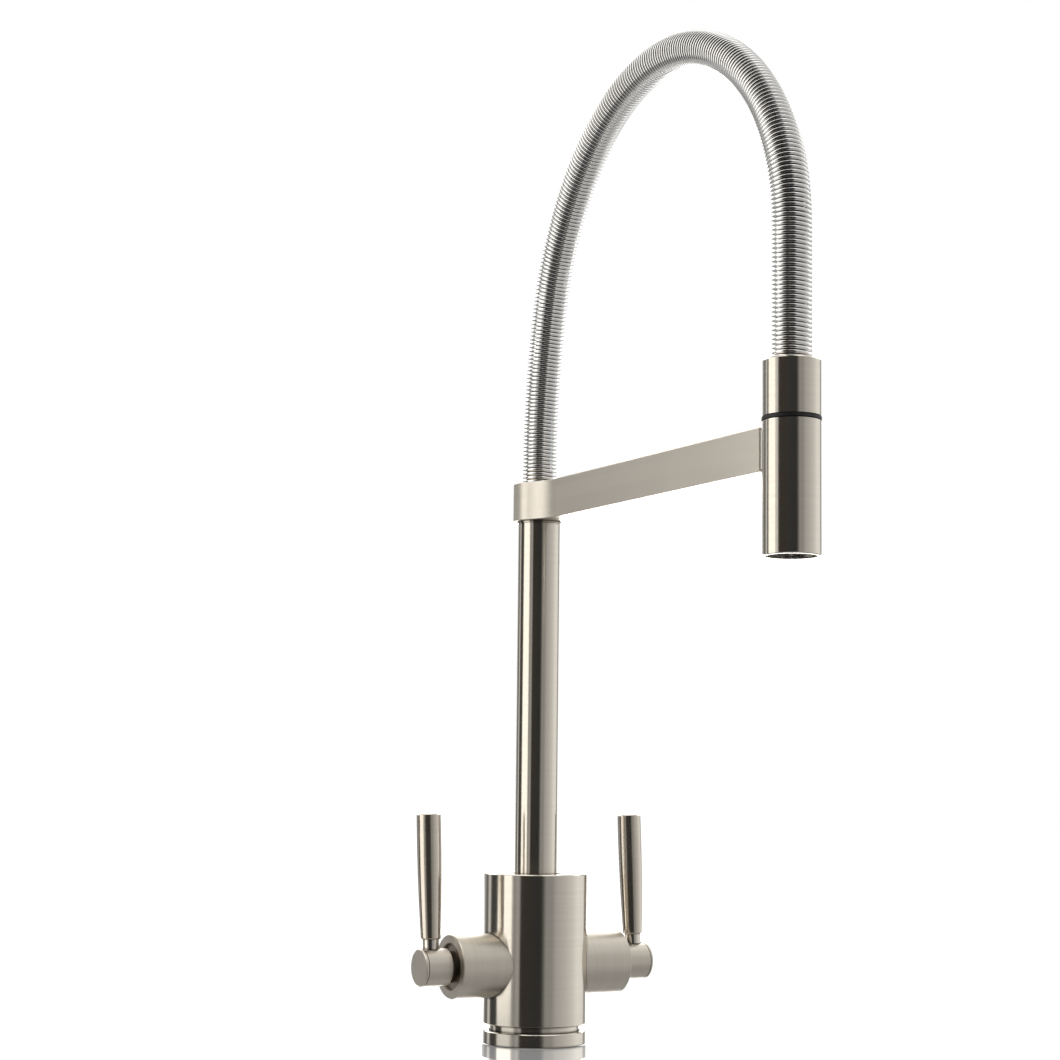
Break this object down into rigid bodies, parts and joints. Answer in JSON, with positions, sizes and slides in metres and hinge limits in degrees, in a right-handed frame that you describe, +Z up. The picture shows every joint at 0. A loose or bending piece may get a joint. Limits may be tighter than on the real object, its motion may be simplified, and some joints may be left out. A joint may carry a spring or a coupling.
{
  "type": "pre-rinse faucet",
  "caption": "Twin-lever deck sink mixer with a riser, a flat docking arm and a spring-covered hose that arches to a pull-off spray head.",
  "frame": {"origin": "centre of the base ring's underside, on the deck, on the body and riser axis", "axes": "+Z up the riser; X along the two valves, hot at -X and cold at +X; the arm and spray head reach towards -Y"},
  "size_m": [0.1336, 0.2651, 0.4947],
  "materials": {
    "brushed_nickel": "brushed nickel plate, banded vertical reflections",
    "satin_nickel": "fine satin nickel plate",
    "seat_nickel": "polished nickel edge",
    "spring_steel": "bright drawn stainless wire",
    "outlet_chrome": "bright chrome plate",
    "black_ring": "matt black acetal",
    "grey_plastic": "moulded grey acetal",
    "white_nylon": "turned white nylon",
    "rubber_seal": "black nitrile rubber",
    "hose_rubber": "dark grey reinforced hose",
    "inner_brass": "turned brass",
    "valve_ceramic": "lapped alumina",
    "magnet_plate": "nickel-plated magnet",
    "screw_steel": "stainless steel"
  },
  "bodies": {
    "root": {"body_shell": "brushed_nickel", "base_ring": "brushed_nickel", "deck_gasket": "rubber_seal", "swivel_bush": "white_nylon", "bush_screw": "screw_steel", "thrust_ring": "white_nylon", "hot_seat_seal": "rubber_seal", "hot_fixed_disc": "valve_ceramic", "hot_cartridge_housing": "inner_brass", "hot_gland_nut": "inner_brass", "hot_boss": "satin_nickel", "cold_seat_seal": "rubber_seal", "cold_fixed_disc": "valve_ceramic", "cold_cartridge_housing": "inner_brass", "cold_gland_nut": "inner_brass", "cold_boss": "satin_nickel"},
    "hot_lever": {"hot_moving_disc": "valve_ceramic", "hot_spindle": "inner_brass", "hot_spindle_seal": "rubber_seal", "hot_lever_hub": "satin_nickel", "hot_hub_cap": "satin_nickel", "hot_lever_stud": "seat_nickel", "hot_lever_grip": "brushed_nickel", "hot_grub_screw": "screw_steel"},
    "cold_lever": {"cold_moving_disc": "valve_ceramic", "cold_spindle": "inner_brass", "cold_spindle_seal": "rubber_seal", "cold_lever_hub": "satin_nickel", "cold_hub_cap": "satin_nickel", "cold_lever_stud": "seat_nickel", "cold_lever_grip": "brushed_nickel", "cold_grub_screw": "screw_steel"},
    "spout": {"riser_tube": "brushed_nickel", "riser_seals": "rubber_seal", "riser_clip": "screw_steel", "arm_washer": "brushed_nickel", "docking_arm": "satin_nickel", "arm_screw": "screw_steel", "dock_magnet": "magnet_plate", "dock_seat": "white_nylon", "hose_spring": "spring_steel", "inner_hose": "hose_rubber", "spring_seat": "inner_brass", "hose_nipple": "inner_brass", "lower_ferrule": "inner_brass"},
    "hose_end": {"upper_sleeve": "brushed_nickel", "hose_coupling": "inner_brass", "top_spring_seat": "inner_brass", "upper_ferrule": "inner_brass", "slip_ring": "black_ring", "coupling_clip": "screw_steel"},
    "spray_head": {"head_shell": "brushed_nickel", "head_plug": "inner_brass", "waterway": "grey_plastic", "dock_keeper": "screw_steel", "check_valve": "white_nylon", "aerator_housing": "outlet_chrome", "aerator_screen": "grey_plastic", "flow_straightener": "grey_plastic"}
  },
  "joints": [
    {"name": "hot_turn", "type": "hinge", "parent": "root", "child": "hot_lever", "pos_m": [-0.0599, 0, 0.0403], "axis": [1, 0, 0], "range_deg": [0, 90]},
    {"name": "cold_turn", "type": "hinge", "parent": "root", "child": "cold_lever", "pos_m": [0.0599, 0, 0.0403], "axis": [1, 0, 0], "range_deg": [0, 90]},
    {"name": "spout_swivel", "type": "hinge", "parent": "root", "child": "spout", "pos_m": [0, 0, 0.07], "axis": [0, 0, 1], "continuous": true},
    {"name": "head_pull", "type": "slide", "parent": "spout", "child": "hose_end", "axis": [0, -1, 0], "range_m": [0, 0.06], "deforming": ["hose_spring", "inner_hose"]},
    {"name": "head_turn", "type": "hinge", "parent": "hose_end", "child": "spray_head", "pos_m": [0, -0.225, 0.28], "axis": [0, 0, 1], "continuous": true}
  ]
}
